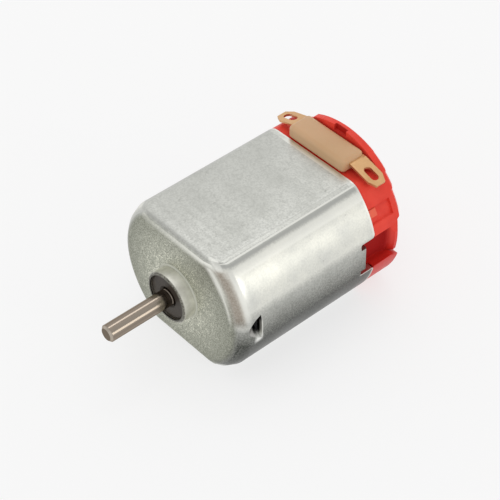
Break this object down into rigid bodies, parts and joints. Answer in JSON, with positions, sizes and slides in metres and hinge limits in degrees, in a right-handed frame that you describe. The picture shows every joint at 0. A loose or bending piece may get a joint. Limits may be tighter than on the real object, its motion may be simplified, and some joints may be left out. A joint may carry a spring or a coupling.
{
  "type": "dc motor",
  "caption": "Small brushed DC motor with a double-flat steel can, red end cap, plain shaft, solder lugs and a suppression capacitor.",
  "frame": {"origin": "on the shaft axis at the plane of the front mounting face", "axes": "-Y along the shaft toward its free end, +Z out of the flat that carries the capacitor side, +X to the right seen from the shaft end"},
  "size_m": [0.02, 0.0363, 0.0175],
  "materials": {
    "zinc_steel": "satin",
    "shaft_steel": "polished",
    "sintered_iron": "satin",
    "ferrite": "matte",
    "spring_steel": "satin",
    "red_plastic": "satin",
    "tan_epoxy": "satin",
    "chip_ceramic": "matte",
    "terminal_copper": "satin",
    "brush_bronze": "satin",
    "core_steel": "satin",
    "insulator_fibre": "matte",
    "enamel_wire": "gloss",
    "black_plastic": "matte",
    "commutator_copper": "polished",
    "white_nylon": "matte"
  },
  "bodies": {
    "stator": {"can": "zinc_steel", "front_bearing": "sintered_iron", "rear_bearing": "sintered_iron", "magnet_right": "ferrite", "magnet_left": "ferrite", "magnet_spring": "spring_steel", "end_cap": "red_plastic", "capacitor_body": "tan_epoxy", "capacitor_element": "chip_ceramic", "terminal_right": "terminal_copper", "terminal_left": "terminal_copper", "brush_right": "brush_bronze", "brush_left": "brush_bronze"},
    "rotor": {"shaft": "shaft_steel", "lamination_stack": "core_steel", "insulator_front": "insulator_fibre", "insulator_rear": "insulator_fibre", "front_collar": "white_nylon", "front_washer": "white_nylon", "rear_washer": "white_nylon", "commutator_hub": "black_plastic", "commutator_ring": "black_plastic", "winding_1": "enamel_wire", "winding_2": "enamel_wire", "winding_3": "enamel_wire", "commutator_segment_1": "commutator_copper", "commutator_segment_2": "commutator_copper", "commutator_segment_3": "commutator_copper"}
  },
  "joints": [
    {"name": "shaft_spin", "type": "hinge", "parent": "stator", "child": "rotor", "pos_m": [0, 0, 0], "axis": [0, -1, 0], "continuous": true}
  ]
}
